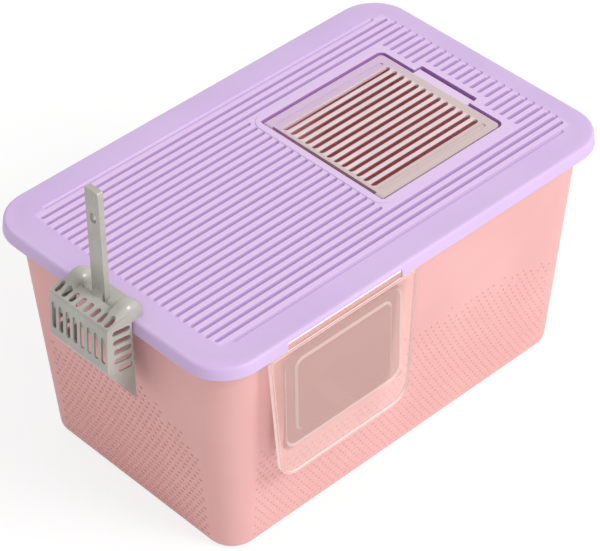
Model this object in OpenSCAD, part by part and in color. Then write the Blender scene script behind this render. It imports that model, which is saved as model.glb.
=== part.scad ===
// Top entry litter box: a drafted tub closed by a ribbed lid. A slatted hatch opens upwards in the lid,
// a clear flap hangs from the lid's skirt in front of the tub's doorway, and a slotted scoop hangs on the
// lid's left side.
// The origin is the centre of the base, +Z is up and the flap is on the -Y side.

/* [Tub] */
// Length of the tub over its rim, without the bead
tub_l = 578; // [540:2:640]
// Width of the tub over its rim, without the bead
tub_w = 361; // [350:1:420]
// Height of the tub
tub_h = 303; // [290:1:340]
// Radius of the tub's upright corners at the rim
rim_r = 58; // [50:1:64]
// How far each side leans in from the rim to the base
tub_draft = 25.5; // [20:0.5:30]
// Radius where the walls turn into the floor
toe_r = 7; // [4:0.5:9]
// Thickness of the walls
tub_wall = 2.8; // [2.4:0.1:3.2]
// Thickness of the floor
tub_floor = 3; // [2.6:0.1:4]
// How far the rim bead stands out of the wall
bead_out = 3; // [2:0.1:3.2]
// Height of the rim bead
bead_h = 5; // [3:0.5:7]
// Depth of the hollows in the underside
base_relief = 1; // [0.6:0.1:1.4]

/* [Doorway] */
// Distance of the flap's middle from the middle of the box
door_x = -121; // [-130:1:-110]
// How far the doorway's middle lies to the right of the flap's
door_shift = 10; // [0:1:14]
// Width of the doorway
door_w = 164; // [140:1:170]
// Height of the doorway
door_h = 164; // [120:1:166]
// Height of the doorway's lower edge above the base
door_sill = 115; // [114:0.5:130]
// Corner radius of the doorway
door_r = 18; // [14:1:19]

/* [Lid] */
// Length of the lid over its skirt
lid_l = 603; // [603:1:606]
// Width of the lid over its skirt
lid_w = 383; // [383:1:384]
// Corner radius of the skirt
lid_r = 52; // [48:1:54]
// Height of the lid from the skirt's lower edge to its flat top
lid_h = 15; // [15:0.5:16]
// Thickness of the lid's top
lid_plate = 4; // [3.6:0.1:4.4]
// Thickness of the skirt
skirt_wall = 2.4; // [2:0.1:2.6]
// How far the skirt leans in over its height
skirt_lean = 2; // [1.5:0.1:2.2]
// Radius of the lid's shoulder
shoulder_r = 4; // [3:0.5:4.5]
// Distance from one groove to the next
groove_pitch = 11.67; // [11.4:0.01:11.8]
// Depth of the grooves
groove_depth = 2.2; // [1.4:0.1:2.4]
// Radius of the grooves' round bottom
groove_r = 3.4; // [3.2:0.1:3.8]
// Left end of the field of grooves
groove_left = -265; // [-268:1:-260]
// Right end of the field of grooves
groove_right = 275; // [268:1:278]

/* [Hatch] */
// Left side of the opening in the lid
hatch_left = 26; // [22:1:30]
// Length of the opening along the lid
hatch_l = 194; // [190:1:198]
// Width of the opening across the lid
hatch_w = 197; // [196:0.5:199]
// Corner radius of the opening
hatch_r = 9; // [6:1:10]
// Width of the raised lip round the opening
lip_w = 8.5; // [7:0.5:9]
// Height of the raised lip
lip_h = 0.7; // [0.5:0.1:1]
// Thickness of the hatch door
hatch_t = 4; // [3.6:0.1:4.2]
// Width of the slots between the slats
slot_w = 6.6; // [6:0.1:7.4]

/* [Flap] */
// Width of the flap at its shoulders
flap_top_w = 218; // [210:1:222]
// Width of the flap at its lower edge
flap_low_w = 193; // [186:1:200]
// Height of the flap's lower edge above the base
flap_low = 109.6; // [105:0.2:118]
// Corner radius of the flap's lower edge
flap_r = 27; // [18:1:32]
// Thickness of the flap
flap_t = 3; // [2.6:0.1:3.2]
// Depth of the channel pressed into the flap
press_d = 1.8; // [1:0.1:2]
// Width of the flap's hinge tongue
tongue_w = 166.9; // [160:0.1:170]

/* [Scoop] */
// Width of the scoop
scoop_w = 93; // [90:0.5:96]
// Distance of the scoop's middle from the middle of the box, towards the back
scoop_y = -11.5; // [-20:0.5:20]
// Wall thickness of the scoop
scoop_wall = 2; // [1.8:0.1:2.2]
// Height of the handle's end above the lid
handle_top = 152.6; // [120:0.2:170]
// Width of the handle
handle_w = 21; // [18:0.5:24]
// Thickness of the handle
handle_t = 7; // [6:0.2:7.4]
// Distance from one slot of the scoop to the next
scoop_pitch = 11.4; // [11:0.1:11.6]

/* [Hidden] */
big = 400;
cut = 1;
arc_steps = 8;
toe_steps = 4;
round_faces = 64;

// Heights of the closed lid
lid_top = tub_h + lid_plate;
lid_low = lid_top - lid_h;
relief_inset = 40;
relief_cross = 24;
relief_r = 12;

// Field of grooves and what it leaves bare
groove_last = 13;
groove_end_steps = 3;
field_r = 30;
field_edge = groove_last * groove_pitch + groove_r;

// Ring under the lid that drops inside the tub's rim
ring_gap = 1.5;
ring_t = 2;
ring_h = 6;
ring_l = tub_l - 2 * (tub_wall + ring_gap);
ring_w = tub_w - 2 * (tub_wall + ring_gap);
ring_r = rim_r - tub_wall - ring_gap;

// Hinge pins, their bores and the barrels round them
pin_r = 1.25;
pin_play = 0.05;
pin_in_barrel = 8;
pin_in_boss = 6.5;
pin_bore_spare = 1;
pin_chamfer = 0.3;
boss_r = 3.2;
barrel_r = 2.6;

// Hatch: where the opening, its finger notch, its ledge and the door's edges lie
hatch_right = hatch_left + hatch_l;
hatch_x = (hatch_left + hatch_right) / 2;
notch_l = 12.5;
notch_w = 89;
notch_r = 3;
hinge_corner_r = 3;
ledge_w = 12;
ledge_r = 3;
ledge_t = 2.2;
ledge_gap = 0.3;
ledge_start = 16;
collar_t = 2.2;
door_gap = 3.5;
tab_gap = 1.6;
tab_l = 11;
hatch_low = lid_top - 1 - hatch_t;
hatch_high = hatch_low + hatch_t;
hinge_x = hatch_left + 5;
hinge_z = hatch_high - barrel_r;
ledge_top = hatch_low - ledge_gap;
collar_low = ledge_top - ledge_t;
slats = 6;
slots_left = hatch_left + 10.5;
slots_right = hatch_left + 179;
slot_round = 0.8;
slat_t = 2.2;
blind_depth = 1.2;
knuckle_l = 12;
plate_start = hinge_x + 1;

// Flap: its hinge line behind the skirt, its notch and the channel pressed into it
flap_y = -lid_w / 2 + 3.9;
flap_z = lid_top - 9.6;
flap_gap = 0.3;
flap_drop = 7.8;
flap_high = flap_z - flap_drop;
notch_high = flap_z + 3.8;
boss_web = 4.6;
shoulder_corner = 4;
rim_w = 3;
rim_t = 1.5;
press_size = [175, 132.5];
press_z = flap_high - 76.35;
press_r = 18;
island_size = [137.5, 98.5];
island_z = flap_high - 74.35;
island_r = 9;
press_side = 3;
press_slope = press_side / press_d;

// Scoop: side view measured outwards from the skirt's face and upwards from the lid's top
fold_top = [-34.2, 8.1];
fold_low = [-37.4, -50.4];
lip_tip = [-1, -107.4];
back_slope = 11;
back_end = [lip_tip.x, fold_top.y + (lip_tip.x - fold_top.x) * tan(back_slope)];
fold_r = 4;
dip_x = -9.5;
dip_w = 53;
dip_r = 7;
lobe_r = 19;
lobe_half = 10.6;
lobe_edge = 8;
lobe_centre = [0.5, 3.2];
lobe_start = [-30, fold_top.y + (-30 - fold_top.x) * tan(back_slope)];
lobe_side = 10.8;
lobe_hollow = -14;
lobe_reach = lobe_centre - lobe_start;
lobe_slope = atan2(lobe_reach.y, lobe_reach.x) + asin(lobe_r / norm(lobe_reach));
scoop_slots = 8;
scoop_slot_w = 6.6;
face_slot = [-39.3, -4.4];
back_slot = [-31.5, -17.5];
side_slots = 5;
side_slot_pitch = 12.7;
side_slot_w = 7;
side_slot_tilt = 9;
side_slot = [-27.6, -3.4];
side_slot_high = -2.8;
side_slot_short = 5;
saddle_end = 20.5;
saddle_low = 2.6;
saddle_half = scoop_w / 2 - lobe_side - lobe_half + scoop_wall / 2;
handle_sink = 0.6;
handle_low = saddle_low + scoop_wall - handle_sink;
handle_x = -1.5;
handle_r = 3;
handle_hole_w = 9;
handle_hole_h = 13;
handle_hole_z = 115.6;
neck_w = 15;
neck_wall = -17;
neck_rise = 10;

// Points along an arc
function arc(centre, r, from, to, steps = arc_steps) =
    [for (i = [0:steps])
        let (turn = from + (to - from) * i / steps)
        centre + r * [cos(turn), sin(turn)]];

// Unit vector along v
function along(v) = v / norm(v);

// Half of the angle between the two sides that meet at a corner
function half_angle(before, at, after) = acos(along(before - at) * along(after - at)) / 2;

// Point inside a convex corner at the distance d from both of its sides
function inside(before, at, after, d) =
    at + along(along(before - at) + along(after - at)) * d / sin(half_angle(before, at, after));

// Arc of radius r that touches both sides of a corner
function corner_arc(before, at, after, r) =
    let (centre = inside(before, at, after, r),
        reach = r / tan(half_angle(before, at, after)),
        start = at + along(before - at) * reach - centre,
        stop = at + along(after - at) * reach - centre,
        from = atan2(start.y, start.x),
        turn = atan2(cross(start, stop), start * stop))
    arc(centre, r, from, from + turn);

// Outline with each corner rounded by its own radius, where 0 leaves it sharp
function rounded(points, radii) =
    let (n = len(points))
    [for (i = [0:n - 1])
        each radii[i] == 0
            ? [points[i]]
            : corner_arc(points[(i + n - 1) % n], points[i], points[(i + 1) % n], radii[i])];

// Convex outline drawn in by the distance d
function drawn_in(points, d) =
    let (n = len(points))
    [for (i = [0:n - 1]) inside(points[(i + n - 1) % n], points[i], points[(i + 1) % n], d)];

// Half section of a wall that leans out by lean over the height h and turns into the floor on an arc,
// up to the wall's upper end
function drafted_wall(r, h, lean, toe) =
    let (slope = atan(lean / h),
        toe_x = r - lean + lean * toe / h - toe / cos(slope))
    concat([[0, 0]], arc([toe_x, toe], toe, -90, -slope, toe_steps), [[r, h]]);

// The same section closed by a flat top
function drafted(r, h, lean, toe) = concat(drafted_wall(r, h, lean, toe), [[0, h]]);

// Half section of the tub's outside, with the bead round its rim
function tub_section() =
    let (bead_low = tub_h - bead_h,
        bead_lean = tub_draft * bead_h / tub_h)
    concat(drafted_wall(rim_r - bead_lean, bead_low, tub_draft - bead_lean, toe_r),
        [[rim_r + bead_out, bead_low], [rim_r + bead_out, tub_h], [0, tub_h]]);

// The same section upside down, for a lid
function upturned(section, h) = [for (p = section) [p.x, h - p.y]];

// Rectangle with round corners, centred
module rounded_rect(l, w, r) {
    square([l - 2 * r, w], center = true);
    square([l, w - 2 * r], center = true);
    for (x = [-1, 1], y = [-1, 1])
        translate([x * (l / 2 - r), y * (w / 2 - r)]) circle(r, $fn = round_faces);
}

// Solid rectangle with round corners whose side wall follows a half section measured from the corners' axes
module rounded_body(l, w, r, section) {
    cx = l / 2 - r;
    cy = w / 2 - r;
    for (turn = [0:3])
        translate([(turn == 0 || turn == 3 ? 1 : -1) * cx, (turn < 2 ? 1 : -1) * cy, 0])
            rotate(90 * turn) rotate_extrude(angle = 90, $fn = round_faces) polygon(section);
    for (side = [-1, 1]) {
        translate([side * cx, 0, 0])
            rotate([90, 0, side > 0 ? 0 : 180]) linear_extrude(2 * cy, center = true) polygon(section);
        translate([0, side * cy, 0])
            rotate([90, 0, 90 * side]) linear_extrude(2 * cx, center = true) polygon(section);
    }
    translate([-cx, -cy, 0]) cube([2 * cx, 2 * cy, max([for (p = section) p.y])]);
}

// Prism along Y from an outline in the XZ plane, centred on y = 0
module across(w) {
    rotate([90, 0, 0]) linear_extrude(w, center = true) children();
}

// Prism along X from an outline in the YZ plane
module lengthwise(from, to) {
    translate([from, 0, 0]) rotate([90, 0, 90]) linear_extrude(to - from) children();
}

// Round bar along X, with both ends brought down to a smaller radius on an arc
module round_ended_bar(from, to, r) {
    near = arc([0, r], r, -90, 0, groove_end_steps);
    far = arc([0, to - from - r], r, 0, 90, groove_end_steps);
    translate([from, 0, 0]) rotate([0, 90, 0]) rotate_extrude($fn = round_faces) polygon(concat(near, far));
}

module tub() {
    relief_l = (tub_l - 2 * relief_inset - 2 * tub_draft - relief_cross) / 2;
    relief_w = (tub_w - 2 * relief_inset - 2 * tub_draft - relief_cross) / 2;
    color("#efb4ad")
    difference() {
        rounded_body(tub_l, tub_w, rim_r, tub_section());
        translate([0, 0, tub_floor])
            rounded_body(tub_l - 2 * tub_wall, tub_w - 2 * tub_wall, rim_r - tub_wall,
                drafted(rim_r - tub_wall, tub_h, tub_draft, toe_r - tub_wall));
        translate([door_x + door_shift, -tub_w / 2, door_sill + door_h / 2])
            across(2 * rim_r) rounded_rect(door_w, door_h, door_r);
        for (x = [-1, 1], y = [-1, 1])
            translate([x * (relief_cross + relief_l) / 2, y * (relief_cross + relief_w) / 2, -cut])
                linear_extrude(base_relief + cut) rounded_rect(relief_l, relief_w, relief_r);
    }
}

// Opening of the hatch with its finger notch, grown outwards by spread
module hatch_outline(spread) {
    translate([hatch_x, 0]) rounded_rect(hatch_l + 2 * spread, hatch_w + 2 * spread, hatch_r + spread);
    translate([hatch_right + notch_l / 2 - hatch_r, 0])
        rounded_rect(notch_l + 2 * hatch_r + 2 * spread, notch_w + 2 * spread, notch_r + spread);
}

// The same outline with tighter corners beside the hinge, where the door's knuckles turn
module hatch_opening(spread) {
    hatch_outline(spread);
    translate([hatch_left + hatch_r, 0])
        rounded_rect(2 * (hatch_r + spread), hatch_w + 2 * spread, hinge_corner_r + spread);
}

// What the ledge leaves open under the hatch door
module ledge_opening() {
    translate([hatch_x - ledge_w / 2, 0]) rounded_rect(hatch_l - ledge_w, hatch_w - 2 * ledge_w, ledge_r);
    intersection() {
        hatch_opening(0);
        translate([hatch_left, -hatch_w / 2]) square([ledge_start, hatch_w]);
    }
}

// Top, shoulder and skirt of the lid
module lid_shell() {
    room = lid_h - lid_plate;
    room_r = lid_r - skirt_wall;
    lean = skirt_lean * room / lid_h;
    translate([0, 0, lid_low])
        difference() {
            rounded_body(lid_l, lid_w, lid_r,
                upturned(drafted(lid_r, lid_h, skirt_lean, shoulder_r), lid_h));
            rounded_body(lid_l - 2 * skirt_wall, lid_w - 2 * skirt_wall, room_r,
                upturned(drafted(room_r, room, lean, shoulder_r - skirt_wall), room));
        }
}

// Ring that centres the lid inside the tub's rim
module locating_ring() {
    translate([0, 0, tub_h - ring_h])
        linear_extrude(ring_h + cut)
            difference() {
                rounded_rect(ring_l, ring_w, ring_r);
                rounded_rect(ring_l - 2 * ring_t, ring_w - 2 * ring_t, ring_r - ring_t);
            }
}

// Raised lip, collar and hinge bosses round the hatch
module hatch_frame() {
    translate([0, 0, tub_h]) linear_extrude(lid_plate + lip_h) hatch_outline(lip_w);
    translate([0, 0, collar_low]) linear_extrude(tub_h - collar_low + cut) hatch_opening(collar_t);
    for (side = [-1, 1])
        translate([hinge_x, side * (hatch_w + pin_in_boss) / 2, hinge_z])
            rotate([90, 0, 0]) cylinder(h = pin_in_boss, r = boss_r, center = true, $fn = round_faces);
}

// Bosses that hold the flap's pins at both ends of the notch in the skirt
module flap_bosses() {
    for (side = [-1, 1])
        translate([door_x + side * (tongue_w / 2 + flap_gap + pin_in_boss / 2), flap_y, flap_z]) {
            rotate([0, 90, 0])
                cylinder(h = pin_in_boss, r = boss_r - flap_gap, center = true, $fn = round_faces);
            translate([-pin_in_boss / 2, -boss_web / 2, 0])
                cube([pin_in_boss, boss_web, tub_h - flap_z + cut]);
        }
}

// One groove of the lid's top, cut round where the field's own corners are round
module groove(y, from, to) {
    over = max(0, abs(y) - (field_edge - field_r));
    shy = field_r - sqrt(field_r * field_r - over * over);
    near = from == groove_left ? from + shy : from;
    far = to == groove_right ? to - shy : to;
    translate([0, y, lid_top + groove_r - groove_depth]) round_ended_bar(near, far, groove_r);
}

module grooves() {
    beside = hatch_w / 2 + lip_w;
    beside_notch = notch_w / 2 + lip_w;
    for (k = [-groove_last:groove_last]) {
        y = k * groove_pitch;
        past = abs(y) < beside_notch ? hatch_right + notch_l : hatch_right;
        if (abs(y) > beside) {
            groove(y, groove_left, groove_right);
        } else {
            groove(y, groove_left, hatch_left - lip_w);
            groove(y, past + lip_w, groove_right);
        }
    }
}

module lid() {
    color("#dcc5f2")
    difference() {
        union() {
            difference() {
                lid_shell();
                grooves();
            }
            locating_ring();
            hatch_frame();
            flap_bosses();
        }
        translate([0, 0, ledge_top]) linear_extrude(lid_h) hatch_opening(0);
        translate([0, 0, collar_low - cut]) linear_extrude(lid_h) ledge_opening();
        translate([door_x - tongue_w / 2 - flap_gap, -lid_w / 2 - cut, lid_low - cut])
            cube([tongue_w + 2 * flap_gap, flap_y + barrel_r + flap_gap + lid_w / 2 + cut,
                notch_high - lid_low + cut]);
        translate([hinge_x, 0, hinge_z])
            rotate([90, 0, 0])
                cylinder(h = hatch_w + 2 * pin_in_boss, r = pin_r, center = true, $fn = round_faces);
        translate([door_x, flap_y, flap_z])
            rotate([0, 90, 0])
                cylinder(h = tongue_w + 2 * flap_gap + 2 * pin_in_boss, r = pin_r, center = true,
                    $fn = round_faces);
    }
}

// Slot between two slats: straight through, with its upper edges rounded off
module slat_slot(y) {
    half = slot_w / 2;
    mouth = concat(arc([half + slot_round, hatch_high - slot_round], slot_round, 180, 90),
        [[half + slot_round, hatch_high + cut], [-half - slot_round, hatch_high + cut]],
        arc([-half - slot_round, hatch_high - slot_round], slot_round, 90, 0));
    translate([0, y, 0]) {
        translate([(slots_left + slots_right) / 2, 0, hatch_low - cut])
            linear_extrude(hatch_t + 2 * cut)
                rounded_rect(slots_right - slots_left, slot_w, half - pin_play);
        lengthwise(slots_left + half, slots_right - half) polygon(mouth);
    }
}

module hatch_door() {
    door_half = hatch_w / 2 - door_gap;
    door_right = hatch_right - door_gap;
    plate_l = door_right - plate_start;
    field_half = slats * groove_pitch + slot_w / 2;
    color("#ecdfd6")
    difference() {
        union() {
            translate([0, 0, hatch_low])
                linear_extrude(hatch_t) {
                    intersection() {
                        translate([door_right - plate_l, 0])
                            rounded_rect(2 * plate_l, 2 * door_half, hatch_r - door_gap);
                        translate([plate_start, -door_half]) square([plate_l, 2 * door_half]);
                    }
                    translate([door_right + (tab_l - hatch_r) / 2, 0])
                        rounded_rect(tab_l + hatch_r, notch_w - 2 * tab_gap, notch_r - tab_gap);
                }
            for (side = [-1, 1])
                translate([hinge_x, side * (door_half - knuckle_l / 2), hinge_z])
                    rotate([90, 0, 0])
                        cylinder(h = knuckle_l, r = barrel_r, center = true, $fn = round_faces);
        }
        for (k = [-slats:slats])
            slat_slot(k * groove_pitch);
        translate([slots_left, -field_half, hatch_low - cut])
            cube([slots_right - slots_left, 2 * field_half, hatch_t - slat_t + cut]);
        for (side = [-1, 1]) {
            translate([(slots_left + slots_right) / 2, side * (slats + 1) * groove_pitch,
                hatch_high - blind_depth])
                linear_extrude(blind_depth + cut)
                    rounded_rect(slots_right - slots_left, slot_w, slot_w / 2 - pin_play);
            translate([hinge_x, side * (door_half - (pin_in_barrel + pin_bore_spare) / 2 + cut / 2),
                hinge_z])
                rotate([90, 0, 0])
                    cylinder(h = pin_in_barrel + pin_bore_spare + cut, r = pin_r + pin_play, center = true,
                        $fn = round_faces);
        }
    }
}

// Hinge pin along Z from the boss at z = 0, with both ends chamfered
module hinge_pin(l) {
    rotate_extrude($fn = round_faces)
        polygon([[0, 0], [pin_r - pin_chamfer, 0], [pin_r, pin_chamfer], [pin_r, l - pin_chamfer],
            [pin_r - pin_chamfer, l], [0, l]]);
}

// Pin of the hatch, pressed in the boss on the side given by -1 for the front or 1 for the back
module hatch_pin(side) {
    color("#c9ced2")
        translate([hinge_x, side * (hatch_w / 2 + pin_in_boss), hinge_z])
            rotate([90 * side, 0, 0]) hinge_pin(pin_in_boss + door_gap + pin_in_barrel);
}

module hatch_pin_front() {
    hatch_pin(-1);
}

module hatch_pin_rear() {
    hatch_pin(1);
}

// Flap seen from the front, drawn in by the distance d
function flap_outline(d) =
    let (points = [[-flap_top_w / 2, flap_high], [-flap_low_w / 2, flap_low],
        [flap_low_w / 2, flap_low], [flap_top_w / 2, flap_high]])
    rounded(drawn_in(points, d), [shoulder_corner, flap_r - d, flap_r - d, shoulder_corner]);

// Block with round corners behind the flap's face, from one depth to another: its outline has the given
// size and corner radius at the face and widens by slope for each unit of depth
module pressed_block(size, z, r, slope, from, to) {
    start = r + slope * from;
    stop = r + slope * to;
    translate([0, from - flap_t / 2, z])
        rotate([-90, 0, 0])
            rounded_body(size.x, size.y, r, [[0, 0], [start, 0], [stop, to - from], [0, to - from]]);
}

// Channel with slanting sides round the middle of the flap's face
module pressed_channel() {
    difference() {
        pressed_block(press_size, press_z, press_r, -press_slope, -cut, press_d);
        pressed_block(island_size, island_z, island_r, press_slope, -2 * cut, press_d + cut);
    }
}

module front_flap() {
    tongue_low = flap_high - 2 * shoulder_corner;
    color("#f1eeec")
    translate([door_x, flap_y, 0])
        difference() {
            union() {
                across(flap_t) polygon(flap_outline(0));
                across(flap_t)
                    translate([-tongue_w / 2, tongue_low]) square([tongue_w, flap_z - tongue_low]);
                translate([0, -(flap_t + rim_t) / 2, 0])
                    across(rim_t)
                        difference() {
                            polygon(flap_outline(0));
                            polygon(flap_outline(rim_w));
                        }
                translate([0, 0, flap_z])
                    rotate([0, 90, 0])
                        cylinder(h = tongue_w, r = barrel_r, center = true, $fn = round_faces);
            }
            pressed_channel();
            for (side = [-1, 1])
                translate([side * (tongue_w - pin_in_barrel - pin_bore_spare + cut) / 2, 0, flap_z])
                    rotate([0, 90, 0])
                        cylinder(h = pin_in_barrel + pin_bore_spare + cut, r = pin_r + pin_play,
                            center = true, $fn = round_faces);
        }
}

// Pin of the flap, pressed in the boss on the side given by -1 for the left or 1 for the right
module flap_pin(side) {
    color("#c9ced2")
        translate([door_x + side * (tongue_w / 2 + flap_gap + pin_in_boss), flap_y, flap_z])
            rotate([0, -90 * side, 0]) hinge_pin(pin_in_boss + flap_gap + pin_in_barrel);
}

module flap_pin_left() {
    flap_pin(-1);
}

module flap_pin_right() {
    flap_pin(1);
}

// Basket of the scoop: front, slanting lip, back and two side walls, open towards the tub
module scoop_basket() {
    outer = [fold_top, fold_low, lip_tip, back_end];
    fold_top_in = inside(back_end, fold_top, fold_low, scoop_wall);
    fold_low_in = inside(fold_top, fold_low, lip_tip, scoop_wall);
    room = [fold_top_in, fold_low_in, fold_low_in + 2 * (lip_tip - fold_low),
        fold_top_in + 2 * (back_end - fold_top)];
    inner_r = fold_r - scoop_wall;
    difference() {
        across(scoop_w) polygon(rounded(outer, [fold_r, fold_r, 0, 0]));
        across(scoop_w - 2 * scoop_wall) polygon(rounded(room, [inner_r, inner_r, 0, 0]));
        translate([dip_x + dip_w / 2, 0, 0])
            linear_extrude(big, center = true) rounded_rect(dip_w, dip_w, dip_r);
    }
}

// Shank and round nose of one hooked lobe, drawn in by the distance d, reaching back by the given length
module lobe_body(d, back) {
    edge = lobe_edge - d;
    reach = lobe_r - lobe_edge;
    side = lobe_half - lobe_edge;
    section = concat([[0, d - lobe_half]], arc([reach, -side], edge, -90, 0),
        arc([reach, side], edge, 0, 90), [[0, lobe_half - d]]);
    translate([lobe_centre.x, 0, lobe_centre.y])
        rotate([0, -lobe_slope, 0]) {
            rotate([90, 0, 0]) rotate_extrude($fn = round_faces) polygon(section);
            lengthwise(-back, 0) polygon([for (p = section) [p.y, p.x]]);
        }
}

// One of the two lobes of the scoop's back that hook over the lid's edge and stand on its flat border
module scoop_lobe() {
    nose = lobe_centre.x + 2 * lobe_r;
    wall_at_dip = fold_top.y + (dip_x - fold_top.x) * tan(back_slope);
    intersection() {
        lobe_body(0, norm(lobe_reach));
        across(2 * lobe_r)
            polygon([fold_top - [0, scoop_wall / 2], [dip_x, wall_at_dip - scoop_wall / 2], [dip_x, 0],
                [nose, 0], [nose, nose], [fold_top.x, nose]]);
    }
}

// Hollow of a lobe, open below
module lobe_room() {
    intersection() {
        lobe_body(scoop_wall, norm(lobe_reach));
        translate([lobe_hollow, -lobe_r, -cut]) cube(2 * lobe_r);
    }
}

// Low plate between the lobes that lies over the lid's edge, and the riser from it to the scoop's back
module scoop_saddle() {
    riser_high = fold_top.y + (dip_x - scoop_wall - fold_top.x) * tan(back_slope) - scoop_wall / 2;
    translate([dip_x - scoop_wall, -saddle_half, saddle_low])
        cube([saddle_end - dip_x + scoop_wall, 2 * saddle_half, scoop_wall]);
    translate([dip_x - scoop_wall, -saddle_half, saddle_low])
        cube([scoop_wall, 2 * saddle_half, riser_high - saddle_low]);
}

module scoop_slots() {
    for (k = [0:scoop_slots - 1])
        translate([0, (k - (scoop_slots - 1) / 2) * scoop_pitch, 0]) {
            translate([fold_low.x, 0, (face_slot[0] + face_slot[1]) / 2])
                rotate([90, 0, 90])
                    linear_extrude(4 * scoop_wall, center = true)
                        rounded_rect(scoop_slot_w, face_slot[1] - face_slot[0], scoop_slot_w / 2 - pin_play);
            translate([(back_slot[0] + back_slot[1]) / 2, 0, back_end.y])
                linear_extrude(fold_r * fold_r, center = true)
                    rounded_rect(back_slot[1] - back_slot[0], scoop_slot_w, scoop_slot_w / 2 - pin_play);
        }
    for (k = [0:side_slots - 1]) {
        short = k == side_slots - 1 ? side_slot_short : 0;
        translate([(side_slot[0] + short + side_slot[1]) / 2, 0, side_slot_high - k * side_slot_pitch])
            rotate([0, side_slot_tilt, 0])
                across(2 * scoop_w)
                    rounded_rect(side_slot[1] - side_slot[0] - short, side_slot_w,
                        side_slot_w / 2 - pin_play);
    }
}

// Handle that stands on the scoop's back between the lobes, with a hole to hang it by
module scoop_handle() {
    left = handle_x - handle_t / 2;
    right = handle_x + handle_t / 2;
    root_r = handle_w / 2 - pin_play;
    wall_high = fold_top.y + (neck_wall - fold_top.x) * tan(back_slope) - scoop_wall / 2;
    neck_low = fold_top.y + (dip_x - fold_top.x) * tan(back_slope) - scoop_wall;
    difference() {
        union() {
            lengthwise(left, right)
                polygon(rounded([[-handle_w / 2, handle_low], [handle_w / 2, handle_low],
                    [handle_w / 2, handle_top], [-handle_w / 2, handle_top]],
                    [root_r, root_r, handle_r, handle_r]));
            across(neck_w)
                polygon(concat([[left, handle_low + handle_t / 2],
                    [left + handle_t / 2, handle_low + handle_t / 2],
                    [left + handle_t / 2, neck_low + neck_rise]],
                    arc([left - neck_rise, neck_low + neck_rise], neck_rise, 0, -90 + back_slope),
                    [[neck_wall, wall_high], [dip_x, neck_low]]));
        }
        lengthwise(left - cut, right + cut)
            translate([0, handle_hole_z])
                rounded_rect(handle_hole_w, handle_hole_h, handle_hole_w / 2 - pin_play);
    }
}

module scoop() {
    lobe_y = scoop_w / 2 - lobe_side;
    color("#a9aca3")
    translate([-lid_l / 2, scoop_y, lid_top])
        difference() {
            union() {
                scoop_basket();
                scoop_saddle();
                for (side = [-1, 1])
                    translate([0, side * lobe_y, 0]) scoop_lobe();
                scoop_handle();
            }
            for (side = [-1, 1])
                translate([0, side * lobe_y, 0]) lobe_room();
            scoop_slots();
        }
}

tub();
lid();
hatch_door();
hatch_pin_front();
hatch_pin_rear();
front_flap();
flap_pin_left();
flap_pin_right();
scoop();
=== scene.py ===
"""A top entry litter box: pink tub, ribbed lilac lid, slatted hatch, clear front flap and a grey scoop.

The CAD nodes come in as they were packed, in metres, with +Z up and the flap on the -Y side. This script
gives each moulding its finish, presses the small dimples into the tub's walls and sets up the studio and
the camera.
"""

import logging
import math
import random
from dataclasses import dataclass
from enum import Enum
from typing import Protocol

import bmesh
import bpy
from mathutils import Matrix, Vector


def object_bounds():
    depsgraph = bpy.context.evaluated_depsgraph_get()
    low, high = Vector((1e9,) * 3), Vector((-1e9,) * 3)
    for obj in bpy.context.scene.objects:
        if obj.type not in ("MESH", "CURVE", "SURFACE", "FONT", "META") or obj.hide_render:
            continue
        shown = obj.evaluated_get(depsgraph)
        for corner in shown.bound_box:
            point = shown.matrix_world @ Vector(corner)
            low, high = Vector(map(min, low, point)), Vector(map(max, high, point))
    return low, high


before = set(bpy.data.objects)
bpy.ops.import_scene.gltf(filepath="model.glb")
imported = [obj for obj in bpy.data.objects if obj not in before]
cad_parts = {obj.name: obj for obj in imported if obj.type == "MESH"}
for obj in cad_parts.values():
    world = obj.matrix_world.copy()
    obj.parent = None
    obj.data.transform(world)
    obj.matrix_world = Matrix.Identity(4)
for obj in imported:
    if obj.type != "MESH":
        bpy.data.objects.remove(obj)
CAD_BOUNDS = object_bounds()

LOG = logging.getLogger("litter_box")
MM = 0.001
PLASTIC_IOR = 1.49
CLOUD_DETAIL = 3.0
GRAIN_DETAIL = 2.0
WHITE = (1.0, 1.0, 1.0, 1.0)

Colour = tuple[float, float, float]
Box = tuple[float, float, float, float]


class Mould(Enum):
    """The mouldings of the box, by the name of their CAD node."""

    TUB = "tub"
    LID = "lid"
    HATCH = "hatch_door"
    FLAP = "front_flap"
    SCOOP = "scoop"


class Wall(Enum):
    """The four walls of the tub, by the unit vector that points out of each."""

    LEFT = (-1.0, 0.0)
    RIGHT = (1.0, 0.0)
    FRONT = (0.0, -1.0)
    BACK = (0.0, 1.0)


def linear(red: int, green: int, blue: int) -> Colour:
    """Turns a colour as seen on a screen into the linear values that a shader takes.

    Args:
        red: Red from 0 to 255.
        green: Green from 0 to 255.
        blue: Blue from 0 to 255.

    Returns:
        The three linear values from 0 to 1.
    """
    knee, slope, offset, power, full = 0.04045, 12.92, 0.055, 2.4, 255.0
    parts = [value / full for value in (red, green, blue)]
    red_, green_, blue_ = (p / slope if p <= knee else ((p + offset) / (1 + offset)) ** power for p in parts)
    return red_, green_, blue_


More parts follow.
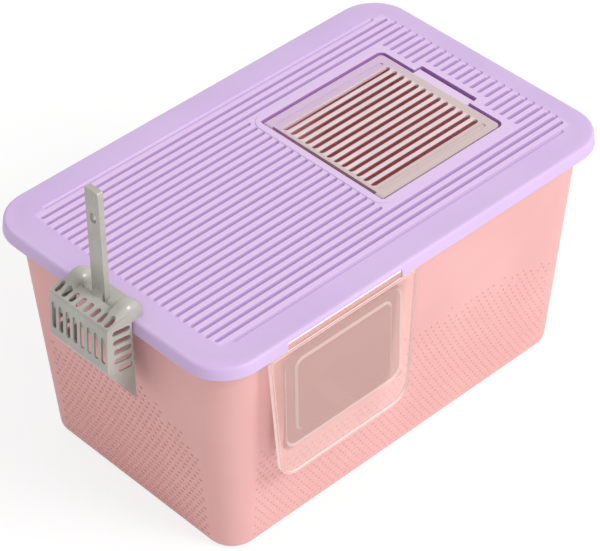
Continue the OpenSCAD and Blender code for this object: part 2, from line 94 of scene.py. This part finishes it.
class ShaderSheet:
    """The node sheet of one material, with short ways to add and join nodes.

    A colour mix has its two colours and its result at fixed places among its sockets, and noise mostly stays
    inside a middle range, which spread() stretches unless it is told otherwise.
    """

    mix_colours = (6, 7)
    mix_result = 2
    noise_range = (0.3, 0.7)
    whole_range = (0.0, 1.0)

    def __init__(self, name: str) -> None:
        """Starts a material that holds only a surface shader and its output.

        Args:
            name: Name of the material.
        """
        self.material = bpy.data.materials.new(name)
        self.material.use_nodes = True
        self.tree = self.material.node_tree
        self.tree.nodes.clear()
        self.surface = self.add("ShaderNodeBsdfPrincipled")
        self.output = self.add("ShaderNodeOutputMaterial")
        self.join(self.surface.outputs["BSDF"], self.output.inputs["Surface"])

    def add(self, kind: str, **inputs: float | tuple[float, ...]) -> bpy.types.Node:
        """Adds a node.

        Args:
            kind: Blender's name of the node type.
            **inputs: Values of its sockets, with underscores for spaces in their names.

        Returns:
            The new node.
        """
        node = self.tree.nodes.new(kind)
        for name, value in inputs.items():
            node.inputs[name.replace("_", " ")].default_value = value
        return node

    def join(self, source: bpy.types.NodeSocket, target: bpy.types.NodeSocket) -> None:
        """Links one socket to another."""
        self.tree.links.new(source, target)

    def set(self, **values: float | tuple[float, ...]) -> None:
        """Sets values of the surface shader's own sockets, with underscores for spaces in their names."""
        for name, value in values.items():
            self.surface.inputs[name.replace("_", " ")].default_value = value

    def noise(self, scale: float, detail: float = GRAIN_DETAIL,
              stretch: tuple[float, float, float] = (1, 1, 1)) -> bpy.types.NodeSocket:
        """Adds a cloudy noise that is fixed to the object.

        Args:
            scale: How many times the noise repeats in a metre.
            detail: How many finer layers it has.
            stretch: Factors on the three axes.

        Returns:
            The noise's value, about 0.5 on average.
        """
        place = self.add("ShaderNodeMapping")
        place.inputs["Scale"].default_value = stretch
        self.join(self.add("ShaderNodeTexCoord").outputs["Object"], place.inputs["Vector"])
        noise = self.add("ShaderNodeTexNoise", Scale=scale, Detail=detail)
        self.join(place.outputs["Vector"], noise.inputs["Vector"])
        return noise.outputs["Fac"]

    def spread(self, value: bpy.types.NodeSocket, low: float, high: float,
               source: tuple[float, float] = noise_range) -> bpy.types.NodeSocket:
        """Maps a value smoothly onto a range.

        Args:
            value: Socket to map.
            low: Result at the lower end of the source range.
            high: Result at its upper end.
            source: The range of the value that counts.

        Returns:
            The mapped value.
        """
        spread = self.add("ShaderNodeMapRange")
        spread.interpolation_type = "SMOOTHSTEP"
        self.join(value, spread.inputs["Value"])
        for name, number in zip(("From Min", "From Max", "To Min", "To Max"), (*source, low, high)):
            spread.inputs[name].default_value = number
        return spread.outputs["Result"]

    def blend(self, share: bpy.types.NodeSocket, first: Colour | bpy.types.NodeSocket,
              second: Colour | bpy.types.NodeSocket) -> bpy.types.NodeSocket:
        """Mixes two colours.

        Args:
            share: How much of the second colour shows, from 0 to 1.
            first: Colour, or socket that gives it, at share 0.
            second: Colour, or socket that gives it, at share 1.

        Returns:
            The mixed colour.
        """
        mix = self.add("ShaderNodeMix")
        mix.data_type = "RGBA"
        self.join(share, mix.inputs[0])
        for place, colour in zip(self.mix_colours, (first, second)):
            socket = mix.inputs[place]
            if isinstance(colour, tuple):
                socket.default_value = (*colour, 1.0)
            else:
                self.join(colour, socket)
        return mix.outputs[self.mix_result]

    def mottled(self, cloud: bpy.types.NodeSocket, first: Colour, second: Colour) -> bpy.types.NodeSocket:
        """Lets two tones run into each other by a cloudy noise."""
        return self.blend(self.spread(cloud, *self.whole_range), first, second)

    def paint(self, colour: bpy.types.NodeSocket) -> None:
        """Gives the surface its colour."""
        self.join(colour, self.surface.inputs["Base Color"])

    def roughen(self, noise: bpy.types.NodeSocket, span: tuple[float, float]) -> None:
        """Lets a noise carry the surface's roughness over a span."""
        self.join(self.spread(noise, *span), self.surface.inputs["Roughness"])

    def place(self, axis: str) -> bpy.types.NodeSocket:
        """Gives a point's place along one axis of the box, in metres."""
        split = self.add("ShaderNodeSeparateXYZ")
        self.join(self.add("ShaderNodeTexCoord").outputs["Object"], split.inputs["Vector"])
        return split.outputs[axis]

    def inside(self, box: Box, fade: float, axes: str = "XY") -> bpy.types.NodeSocket:
        """Tells whether a point lies inside a box seen along one axis, which is from above as a rule.

        Args:
            box: Lower and upper side of the box along the first axis, then along the second, in metres.
            fade: Width over which the answer turns from 0 outside to 1 inside.
            axes: The two axes across the view.

        Returns:
            The answer, from 0 to 1.
        """
        across, along = axes
        left, right, low, high = box
        total = None
        for axis, side, ends in ((across, left, (0.0, 1.0)), (across, right, (1.0, 0.0)),
                                 (along, low, (0.0, 1.0)), (along, high, (1.0, 0.0))):
            part = self.spread(self.place(axis), *ends, (side - fade / 2, side + fade / 2))
            total = part if total is None else self.combine("MULTIPLY", total, part)
        return total

    def combine(self, operation: str, first: bpy.types.NodeSocket,
                second: bpy.types.NodeSocket) -> bpy.types.NodeSocket:
        """Combines two values.

        Args:
            operation: Blender's name of the operation, such as MULTIPLY or MAXIMUM.
            first: The first value.
            second: The second value.

        Returns:
            The result.
        """
        node = self.add("ShaderNodeMath")
        node.operation = operation
        self.join(first, node.inputs[0])
        self.join(second, node.inputs[1])
        return node.outputs[0]

    def let_through(self, share: float, colour: Colour | bpy.types.NodeSocket) -> None:
        """Lets the wall pass on a share of the light that falls on its other side.

        Args:
            share: The share, from 0 to 1.
            colour: Tint of that light.
        """
        glow = self.add("ShaderNodeBsdfTranslucent")
        if isinstance(colour, tuple):
            glow.inputs["Color"].default_value = (*colour, 1.0)
        else:
            self.join(colour, glow.inputs["Color"])
        mix = self.add("ShaderNodeMixShader", Fac=share)
        self.join(self.surface.outputs["BSDF"], mix.inputs[1])
        self.join(glow.outputs["BSDF"], mix.inputs[2])
        self.join(mix.outputs["Shader"], self.output.inputs["Surface"])

    def facing(self, straight: float, edge: float) -> bpy.types.NodeSocket:
        """Gives a value that grows where the surface is seen at a low angle.

        Args:
            straight: Value where it is seen straight on.
            edge: Value where it is seen edge on.

        Returns:
            The value.
        """
        weight = self.add("ShaderNodeLayerWeight")
        return self.spread(weight.outputs["Facing"], straight, edge, self.whole_range)

    def bends(self, axis: str, steep: tuple[float, float]) -> bpy.types.NodeSocket:
        """Gives 1 where a flat moulding bends or ends, and 0 on its broad faces.

        Args:
            axis: Axis of the piece that its broad faces look along.
            steep: Shares of the face's direction along that axis between which the value falls from 1 to 0.

        Returns:
            The value.
        """
        split = self.add("ShaderNodeSeparateXYZ")
        self.join(self.add("ShaderNodeTexCoord").outputs["Normal"], split.inputs["Vector"])
        size = self.add("ShaderNodeMath")
        size.operation = "ABSOLUTE"
        self.join(split.outputs[axis], size.inputs[0])
        return self.spread(size.outputs[0], 1.0, 0.0, steep)

    def bump(self, value: bpy.types.NodeSocket, depth: float, strength: float = 1.0) -> None:
        """Roughens the surface by a value.

        Args:
            value: Height of the relief, from 0 to 1.
            depth: Depth of the relief in metres.
            strength: Share of its effect.
        """
        bump = self.add("ShaderNodeBump", Strength=strength, Distance=depth)
        self.join(value, bump.inputs["Height"])
        self.join(bump.outputs["Normal"], self.surface.inputs["Normal"])


class Finish(Protocol):
    """What every finish can do."""

    def material(self) -> bpy.types.Material:
        """Builds the material."""


@dataclass(frozen=True)
class TubPlastic:
    """Pink moulded plastic with a fine matt grain, a little paler where the wall has run thin."""

    base: Colour = linear(238, 189, 186)
    deep: Colour = linear(234, 182, 179)
    grain_scale: float = 900.0
    grain_depth: float = 0.00006
    cloud_scale: float = 9.0
    roughness: tuple[float, float] = (0.42, 0.52)
    specular: float = 0.45
    through: float = 0.3

    def material(self) -> bpy.types.Material:
        """Builds the material.

        Returns:
            The pink plastic.
        """
        sheet = ShaderSheet("tub_plastic_pink")
        sheet.paint(sheet.mottled(sheet.noise(self.cloud_scale, CLOUD_DETAIL), self.base, self.deep))
        grain = sheet.noise(self.grain_scale)
        sheet.roughen(grain, self.roughness)
        sheet.bump(grain, self.grain_depth)
        sheet.set(Specular_IOR_Level=self.specular, IOR=PLASTIC_IOR)
        sheet.let_through(self.through, self.base)
        return sheet.material


@dataclass(frozen=True)
class LidPlastic:
    """Lilac moulded plastic with a satin gloss, with painted shade down in its grooves, a painted highlight
    on the ribs and painted shade on the walls of the hatch's opening.
    """

    base: Colour = linear(211, 186, 228)
    pale: Colour = linear(216, 192, 231)
    # Painted highlight on the ribs.
    rib_highlight: Colour = linear(228, 204, 239)
    # Painted shade down in the grooves.
    groove_shade: Colour = linear(176, 146, 196)
    shade: Colour = linear(180, 128, 194)
    groove_shade_depth: tuple[float, float] = (305.4 * MM, 306.9 * MM)
    field: Box = (-262 * MM, 272 * MM, -150 * MM, 150 * MM)
    field_fade: float = 6 * MM
    recess: Box = (25.7 * MM, 220.3 * MM, -98.8 * MM, 98.8 * MM)
    notch: Box = (219 * MM, 232.8 * MM, -44.8 * MM, 44.8 * MM)
    recess_fade: float = 0.2 * MM
    recess_top: tuple[float, float] = (307.2 * MM, 307.6 * MM)
    through: float = 0.26
    cloud_scale: float = 7.0
    peel_scale: float = 320.0
    peel_depth: float = 0.00005
    roughness: tuple[float, float] = (0.3, 0.4)
    specular: float = 0.45

    def material(self) -> bpy.types.Material:
        """Builds the material.

        Returns:
            The lilac plastic.
        """
        sheet = ShaderSheet("lid_plastic_lilac")
        cloud = sheet.noise(self.cloud_scale, CLOUD_DETAIL)
        # Painted highlight over the ribbed field; below, painted shade in its grooves.
        painted_rib_field = sheet.inside(self.field, self.field_fade)
        tone = sheet.blend(painted_rib_field, sheet.mottled(cloud, self.base, self.pale), self.rib_highlight)
        # Painted shade: the tone darkens the lower a point lies in a groove.
        depth = sheet.spread(sheet.place("Z"), 1.0, 0.0, self.groove_shade_depth)
        tone = sheet.blend(sheet.combine("MULTIPLY", depth, painted_rib_field), tone, self.groove_shade)
        hollow = sheet.combine("MAXIMUM", sheet.inside(self.recess, self.recess_fade),
                               sheet.inside(self.notch, self.recess_fade))
        low = sheet.spread(sheet.place("Z"), 1.0, 0.0, self.recess_top)
        sheet.paint(sheet.blend(sheet.combine("MULTIPLY", hollow, low), tone, self.shade))
        sheet.roughen(cloud, self.roughness)
        sheet.bump(sheet.noise(self.peel_scale), self.peel_depth)
        sheet.set(Specular_IOR_Level=self.specular, IOR=PLASTIC_IOR)
        sheet.let_through(self.through, self.base)
        return sheet.material


@dataclass(frozen=True)
class HatchPlastic:
    """Milky, slightly clear plastic: palest on the slats and pinkish grey round them, with the lilac of the
    lid below painted in where it shows through, at the back of the border and at the tab.
    """

    slat: Colour = linear(220, 203, 208)
    warm: Colour = linear(213, 194, 198)
    border_front: Colour = linear(200, 182, 181)
    # Painted lilac of the lid's ledge showing through the back of the border.
    border_back_lid_tint: Colour = linear(204, 178, 206)
    # Painted lilac of the notch's floor showing through the clear tab.
    tab: Colour = linear(218, 196, 226)
    alpha: float = 0.84
    slats: Box = (37 * MM, 205 * MM, -74 * MM, 74 * MM)
    plate: Box = (20 * MM, 216 * MM, -100 * MM, 100 * MM)
    fade: float = 2 * MM
    turn: tuple[float, float] = (20 * MM, 90 * MM)
    cloud_scale: float = 22.0
    peel_scale: float = 420.0
    peel_depth: float = 0.00004
    roughness: tuple[float, float] = (0.22, 0.34)
    specular: float = 0.5

    def material(self) -> bpy.types.Material:
        """Builds the material.

        Returns:
            The milky plastic.
        """
        sheet = ShaderSheet("hatch_plastic_milky")
        cloud = sheet.noise(self.cloud_scale, CLOUD_DETAIL)
        # The border turns from pinkish grey at the front to the painted lilac of the lid showing through at
        # the back.
        backwards = sheet.spread(sheet.place("Y"), 0.0, 1.0, self.turn)
        border = sheet.blend(backwards, self.border_front, self.border_back_lid_tint)
        rest = sheet.blend(sheet.inside(self.plate, self.fade), self.tab, border)
        slats = sheet.mottled(cloud, self.slat, self.warm)
        sheet.paint(sheet.blend(sheet.inside(self.slats, self.fade), rest, slats))
        sheet.roughen(cloud, self.roughness)
        sheet.bump(sheet.noise(self.peel_scale), self.peel_depth)
        sheet.set(Specular_IOR_Level=self.specular, IOR=PLASTIC_IOR, Alpha=self.alpha)
        return sheet.material


@dataclass(frozen=True)
class FlapPlastic:
    """Clear, slightly milky plastic of the flap: cloudier on its pressed panel, whose colour is painted
    darker with the shade of the doorway behind it, and with a painted white highlight along its bends.
    """

    base: Colour = linear(230, 188, 182)
    cool: Colour = linear(224, 180, 174)
    # Painted shade of the doorway behind the pressed panel.
    panel: Colour = linear(196, 160, 154)
    # Painted white highlight along the bends.
    bend_highlight: Colour = linear(252, 238, 234)
    alpha: tuple[float, float] = (0.14, 0.5)
    panel_alpha: float = 0.55
    bend_highlight_alpha: float = 0.85
    panel_box: Box = (-208 * MM, -34 * MM, 147.5 * MM, 279 * MM)
    panel_fade: float = 2 * MM
    bend: tuple[float, float] = (0.72, 0.97)
    cloud_scale: float = 14.0
    peel_scale: float = 260.0
    peel_depth: float = 0.00005
    roughness: tuple[float, float] = (0.16, 0.26)
    specular: float = 0.5

    def material(self) -> bpy.types.Material:
        """Builds the material.

        Returns:
            The clear plastic.
        """
        sheet = ShaderSheet("flap_plastic_clear")
        cloud = sheet.noise(self.cloud_scale, CLOUD_DETAIL)
        panel = sheet.inside(self.panel_box, self.panel_fade, "XZ")
        # Painted highlight where the flap bends or ends, which is also more opaque there.
        bends = sheet.bends("Y", self.bend)
        # The pressed panel is painted darker with the shade of the doorway behind it.
        tone = sheet.blend(panel, sheet.mottled(cloud, self.base, self.cool), self.panel)
        sheet.paint(sheet.blend(bends, tone, self.bend_highlight))
        alpha = sheet.facing(*self.alpha)
        for share, most in ((panel, self.panel_alpha), (bends, self.bend_highlight_alpha)):
            alpha = sheet.combine("MAXIMUM", alpha, sheet.spread(share, 0.0, most, sheet.whole_range))
        sheet.join(alpha, sheet.surface.inputs["Alpha"])
        sheet.roughen(cloud, self.roughness)
        sheet.bump(sheet.noise(self.peel_scale), self.peel_depth)
        sheet.set(Specular_IOR_Level=self.specular, IOR=PLASTIC_IOR)
        return sheet.material


@dataclass(frozen=True)
class ScoopPlastic:
    """Grey satin plastic of the scoop, with faint flow marks from its mould."""

    base: Colour = linear(166, 164, 158)
    dull: Colour = linear(156, 153, 147)
    cloud_scale: float = 28.0
    flow_scale: float = 60.0
    flow_stretch: tuple[float, float, float] = (1.0, 1.0, 0.15)
    grain_scale: float = 700.0
    grain_depth: float = 0.00004
    roughness: tuple[float, float] = (0.2, 0.32)
    specular: float = 0.5

    def material(self) -> bpy.types.Material:
        """Builds the material.

        Returns:
            The grey plastic.
        """
        sheet = ShaderSheet("scoop_plastic_grey")
        sheet.paint(sheet.mottled(sheet.noise(self.cloud_scale, CLOUD_DETAIL), self.base, self.dull))
        sheet.roughen(sheet.noise(self.flow_scale, stretch=self.flow_stretch), self.roughness)
        sheet.bump(sheet.noise(self.grain_scale), self.grain_depth)
        sheet.set(Specular_IOR_Level=self.specular, IOR=PLASTIC_IOR)
        return sheet.material


@dataclass(frozen=True)
class PinSteel:
    """Bright drawn wire of the hinge pins, with marks along its length."""

    base: Colour = linear(196, 200, 204)
    dull: Colour = linear(168, 172, 176)
    draw_scale: float = 900.0
    draw_stretch: tuple[float, float, float] = (0.1, 0.1, 1.0)
    roughness: tuple[float, float] = (0.2, 0.38)

    def material(self) -> bpy.types.Material:
        """Builds the material.

        Returns:
            The steel.
        """
        sheet = ShaderSheet("pin_steel_drawn")
        marks = sheet.noise(self.draw_scale, stretch=self.draw_stretch)
        sheet.paint(sheet.mottled(marks, self.base, self.dull))
        sheet.roughen(marks, self.roughness)
        sheet.set(Metallic=1.0)
        return sheet.material


def dress(node: str, material: bpy.types.Material) -> bpy.types.Object:
    """Gives every face of a CAD node one finish.

    Args:
        node: Name of the CAD node.
        material: Its finish.

    Returns:
        The node's object.
    """
    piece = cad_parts[node]
    if not piece.material_slots:
        piece.data.materials.append(None)
    for slot in piece.material_slots:
        slot.link = "OBJECT"
        slot.material = material
    return piece


@dataclass
class Moulding:
    """A sub-assembly of one moulding, as it was packed, in one finish."""

    mould: Mould
    finish: Finish

    def build(self) -> bpy.types.Object:
        """Takes the moulding as it was packed."""
        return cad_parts[self.mould.value]

    def dress(self) -> None:
        """Gives the moulding its finish."""
        dress(self.mould.value, self.finish.material())


@dataclass
class TubAssembly(Moulding):
    """The pink tub with the dimples in the lower part of its walls."""

    mould: Mould = Mould.TUB
    finish: Finish = TubPlastic()
    rim_half: tuple[float, float] = (289 * MM, 180.5 * MM)
    height: float = 303 * MM
    lean: float = 25.5 * MM
    corner: float = 58 * MM
    pitch: float = 9.2 * MM
    lowest: float = 12 * MM
    row_low: float = 6.6 * MM
    row_high: float = 9.4 * MM
    arch_side: tuple[float, float] = (193 * MM, 40 * MM)
    arch_front: tuple[float, float] = (178 * MM, 36 * MM)
    fringe: float = 24 * MM
    sparse: float = 0.35
    dimple_top: tuple[float, float] = (5.0 * MM, 4.8 * MM)
    dimple_foot: tuple[float, float] = (6.2 * MM, 3.6 * MM)
    dimple_depth: float = 1.5 * MM
    dimple_sides: int = 8
    dimple_rings: tuple[tuple[float, float], ...] = ((1.0, -0.6), (1.0, 0.15), (0.62, 0.8))
    doorway: Box = (-193 * MM, -29 * MM, 115 * MM, 279 * MM)
    doorway_margin: float = 6 * MM
    weld_reach: float = 0.01 * MM
    wall_weight: int = 100
    seed: int = 11

    def half(self, wall: Wall, z: float) -> float:
        """Distance of a wall's face from the middle of the tub at a height."""
        along_x = wall.value[0] != 0
        return self.rim_half[0 if along_x else 1] - self.lean * (1 - z / self.height)

    def run(self, wall: Wall) -> float:
        """Half length of the flat part of a wall, between the round corners."""
        along_x = wall.value[0] != 0
        return self.rim_half[1 if along_x else 0] - self.corner

    def places(self, wall: Wall, rng: random.Random) -> list[tuple[float, float]]:
        """Lays out the dimples of one wall.

        Args:
            wall: The wall.
            rng: Source of the random gaps along the upper edge of the field.

        Returns:
            Place along the wall and height of each dimple.
        """
        run = self.run(wall)
        top, sag = self.arch_side if wall in (Wall.LEFT, Wall.RIGHT) else self.arch_front
        found = []
        z, row = self.lowest, 0
        while z < top:
            count = int(2 * run / self.pitch)
            for k in range(count + 1):
                s = (k - count / 2 + (row % 2) / 2) * self.pitch
                edge = top - sag * (s / run) ** 2
                gap = edge - z
                keep = self.sparse + (1 - self.sparse) * gap / self.fringe
                if abs(s) > run or gap < 0 or rng.random() > keep or self.near_doorway(wall, s, z):
                    continue
                found.append((s, z))
            z += self.row_low + (self.row_high - self.row_low) * z / top
            row += 1
        return found

    def near_doorway(self, wall: Wall, s: float, z: float) -> bool:
        """Tells whether a place lies in the doorway or close beside it."""
        left, right, low, high = self.doorway
        gap = self.doorway_margin
        return wall is Wall.FRONT and left - gap < s < right + gap and low - gap < z < high + gap

    def bowl(self, work: bmesh.types.BMesh, face: Vector, axes: tuple[Vector, Vector, Vector],
             size: tuple[float, float]) -> None:
        """Adds one closed bowl that stands a little out of a wall and reaches into it.

        Args:
            work: Mesh to add to.
            face: Middle of the dimple on the wall's face.
            axes: Directions along the wall, up the wall and out of it.
            size: Width and height of the dimple.
        """
        side, up, out = axes
        wide, high = size
        loops = []
        for reach, depth in self.dimple_rings:
            loop = []
            for k in range(self.dimple_sides):
                turn = 2 * math.pi * (k + 0.5) / self.dimple_sides
                spot = face + side * math.cos(turn) * reach * wide / 2
                spot += up * math.sin(turn) * reach * high / 2
                loop.append(work.verts.new(spot - out * depth * self.dimple_depth))
            loops.append(loop)
        tip = work.verts.new(face - out * self.dimple_depth)
        work.faces.new(loops[0])
        for near, far in zip(loops, loops[1:]):
            for k in range(self.dimple_sides):
                work.faces.new((near[k], near[k - 1], far[k - 1], far[k]))
        for k in range(self.dimple_sides):
            work.faces.new((loops[-1][k], loops[-1][k - 1], tip))

    def cutter(self) -> bpy.types.Object:
        """Builds all the dimples as one mesh of small bowls that stand in the walls.

        Returns:
            The mesh, hidden, for the tub to be cut with.
        """
        rng = random.Random(self.seed)
        work = bmesh.new()
        for wall in Wall:
            out = Vector((*wall.value, self.lean / self.height)).normalized()
            side = Vector((-wall.value[1], wall.value[0], 0.0))
            up = out.cross(side)
            up = up if up.z > 0 else -up
            for s, z in self.places(wall, rng):
                share = min(1.0, z / self.arch_side[0])
                wide, high = ((1 - share) * foot + share * top
                              for foot, top in zip(self.dimple_foot, self.dimple_top))
                face = Vector((*wall.value, 0.0)) * self.half(wall, z)
                face += Vector((abs(wall.value[1]), abs(wall.value[0]), 0.0)) * s + Vector((0, 0, z))
                self.bowl(work, face, (side, up, out), (wide, high))
        bmesh.ops.recalc_face_normals(work, faces=work.faces)
        mesh = bpy.data.meshes.new("tub_dimples")
        work.to_mesh(mesh)
        work.free()
        cutter = bpy.data.objects.new("tub_dimples", mesh)
        bpy.context.scene.collection.objects.link(cutter)
        cutter.hide_render = True
        cutter.hide_viewport = True
        return cutter

    def build(self) -> bpy.types.Object:
        """Cuts the dimples into the tub's walls.

        Returns:
            The tub.
        """
        tub = super().build()
        cutter = self.cutter()
        weld = tub.modifiers.new("join", "WELD")
        weld.merge_threshold = self.weld_reach
        cut = tub.modifiers.new("dimples", "BOOLEAN")
        cut.operation = "DIFFERENCE"
        cut.solver = "MANIFOLD"
        cut.object = cutter
        even = tub.modifiers.new("even_walls", "WEIGHTED_NORMAL")
        even.keep_sharp = True
        even.weight = self.wall_weight
        return tub


@dataclass
class LidAssembly(Moulding):
    """The lilac lid and the steel pins that are pressed in its bosses."""

    mould: Mould = Mould.LID
    finish: Finish = LidPlastic()
    pins: tuple[str, ...] = ("hatch_pin_front", "hatch_pin_rear", "flap_pin_left", "flap_pin_right")

    def dress(self) -> None:
        """Gives the lid its lilac plastic and the pins their steel."""
        super().dress()
        steel = PinSteel().material()
        for pin in self.pins:
            dress(pin, steel)


@dataclass
class HatchAssembly(Moulding):
    """The slatted hatch door in its milky plastic."""

    mould: Mould = Mould.HATCH
    finish: Finish = HatchPlastic()


@dataclass
class FlapAssembly(Moulding):
    """The clear flap in front of the doorway."""

    mould: Mould = Mould.FLAP
    finish: Finish = FlapPlastic()


@dataclass
class ScoopAssembly(Moulding):
    """The grey scoop that hangs on the lid's left edge."""

    mould: Mould = Mould.SCOOP
    finish: Finish = ScoopPlastic()


@dataclass
class Studio:
    """A pale floor with a soft shadow, a large soft lamp at the front right and even light all round."""

    floor_half: float = 6.0
    floor_colour: Colour = (0.9, 0.9, 0.9)
    floor_roughness: float = 0.9
    floor_specular: float = 0.1
    floor_glow: float = 0.78
    key_place: tuple[float, float, float] = (1.9, -5.2, 4.9)
    key_size: float = 3.2
    key_power: float = 415.0
    world_light: Colour = (1.0, 0.99, 0.98)
    world_strength: float = 0.785

    def floor(self) -> bpy.types.Object:
        """Lays the floor, which looks white to the camera and still takes the shadow.

        Returns:
            The floor.
        """
        mesh = bpy.data.meshes.new("studio_floor")
        r = self.floor_half
        mesh.from_pydata([(-r, -r, 0), (r, -r, 0), (r, r, 0), (-r, r, 0)], [], [(0, 1, 2, 3)])
        floor = bpy.data.objects.new("studio_floor", mesh)
        bpy.context.scene.collection.objects.link(floor)
        sheet = ShaderSheet("studio_floor_white")
        sheet.set(Base_Color=(*self.floor_colour, 1.0), Roughness=self.floor_roughness,
                  Specular_IOR_Level=self.floor_specular)
        glow = sheet.add("ShaderNodeEmission", Strength=1.0, Color=WHITE)
        mix = sheet.add("ShaderNodeMixShader")
        sheet.join(self.seen_share(sheet.tree, self.floor_glow), mix.inputs[0])
        sheet.join(sheet.surface.outputs["BSDF"], mix.inputs[1])
        sheet.join(glow.outputs["Emission"], mix.inputs[2])
        sheet.join(mix.outputs["Shader"], sheet.output.inputs["Surface"])
        mesh.materials.append(sheet.material)
        return floor

    def seen_share(self, tree: bpy.types.NodeTree, share: float) -> bpy.types.NodeSocket:
        """Adds nodes that give a share to rays from the camera, a mirror or a clear piece, and 0 to others.

        Args:
            tree: Node tree to add to.
            share: The share for those rays.

        Returns:
            The socket that carries the share.
        """
        path = tree.nodes.new("ShaderNodeLightPath")
        total = path.outputs["Is Camera Ray"]
        for name in ("Is Glossy Ray", "Is Transmission Ray"):
            most = tree.nodes.new("ShaderNodeMath")
            most.operation = "MAXIMUM"
            tree.links.new(total, most.inputs[0])
            tree.links.new(path.outputs[name], most.inputs[1])
            total = most.outputs[0]
        scaled = tree.nodes.new("ShaderNodeMath")
        scaled.operation = "MULTIPLY"
        scaled.inputs[1].default_value = share
        tree.links.new(total, scaled.inputs[0])
        return scaled.outputs[0]

    def world(self) -> None:
        """Sets even light from all round, seen as white."""
        world = bpy.data.worlds.new("studio_world")
        bpy.context.scene.world = world
        world.use_nodes = True
        tree = world.node_tree
        tree.nodes.clear()
        light = tree.nodes.new("ShaderNodeBackground")
        light.inputs["Color"].default_value = (*self.world_light, 1.0)
        light.inputs["Strength"].default_value = self.world_strength
        seen = tree.nodes.new("ShaderNodeBackground")
        seen.inputs["Color"].default_value = WHITE
        mix = tree.nodes.new("ShaderNodeMixShader")
        tree.links.new(self.seen_share(tree, 1.0), mix.inputs[0])
        tree.links.new(light.outputs["Background"], mix.inputs[1])
        tree.links.new(seen.outputs["Background"], mix.inputs[2])
        output = tree.nodes.new("ShaderNodeOutputWorld")
        tree.links.new(mix.outputs["Shader"], output.inputs["Surface"])

    def lamps(self) -> None:
        """Hangs the key lamp at the front right."""
        lamp = bpy.data.lights.new("key", "AREA")
        lamp.shape = "DISK"
        lamp.size = self.key_size
        lamp.energy = self.key_power
        key = bpy.data.objects.new("key", lamp)
        bpy.context.scene.collection.objects.link(key)
        place = Vector(self.key_place)
        low, high = CAD_BOUNDS
        aim = (Vector(low) + Vector(high)) / 2
        turn = (place - aim).to_track_quat("Z", "Y").to_matrix().to_4x4()
        key.matrix_world = Matrix.Translation(place) @ turn

    def build(self) -> None:
        """Sets the whole studio."""
        self.floor()
        self.world()
        self.lamps()


@dataclass
class PhotoCamera:
    """The camera at the photograph's place, found from the box's own straight edges."""

    azimuth: float = math.radians(-43.1075)
    elevation: float = math.radians(40.6238)
    roll: float = math.radians(-0.9063)
    aim: tuple[float, float, float] = (-0.0549, -0.0503, 0.2181)
    distance: float = 3.0689
    lens: float = 166.34
    sensor: float = 36.0

    def build(self) -> bpy.types.Object:
        """Places the camera.

        Returns:
            The camera.
        """
        ca, sa = math.cos(self.azimuth), math.sin(self.azimuth)
        ce, se = math.cos(self.elevation), math.sin(self.elevation)
        back = Vector((sa * ce, -ca * ce, se))
        right = Vector((ca, sa, 0.0))
        up = Vector((-se * sa, se * ca, ce))
        cr, sr = math.cos(self.roll), math.sin(self.roll)
        right, up = cr * right + sr * up, cr * up - sr * right
        camera = bpy.data.objects.new("photo_camera", bpy.data.cameras.new("photo_camera"))
        camera.data.lens = self.lens
        camera.data.sensor_width = self.sensor
        camera.data.sensor_fit = "HORIZONTAL"
        turn = Matrix((right, up, back)).transposed().to_4x4()
        camera.matrix_world = Matrix.Translation(Vector(self.aim) + self.distance * back) @ turn
        bpy.context.scene.collection.objects.link(camera)
        bpy.context.scene.camera = camera
        return camera


def main() -> None:
    """Builds and dresses each sub-assembly, then the studio and the camera."""
    logging.basicConfig(level=logging.INFO, format="%(message)s")
    for assembly in (TubAssembly(), LidAssembly(), HatchAssembly(), FlapAssembly(), ScoopAssembly()):
        piece = assembly.build()
        assembly.dress()
        LOG.info("%s: %s", type(assembly).__name__, piece.name)
    Studio().build()
    PhotoCamera().build()
    bpy.context.scene.view_settings.view_transform = "Standard"
    bpy.context.view_layer.update()


if __name__ == "__main__":
    main()
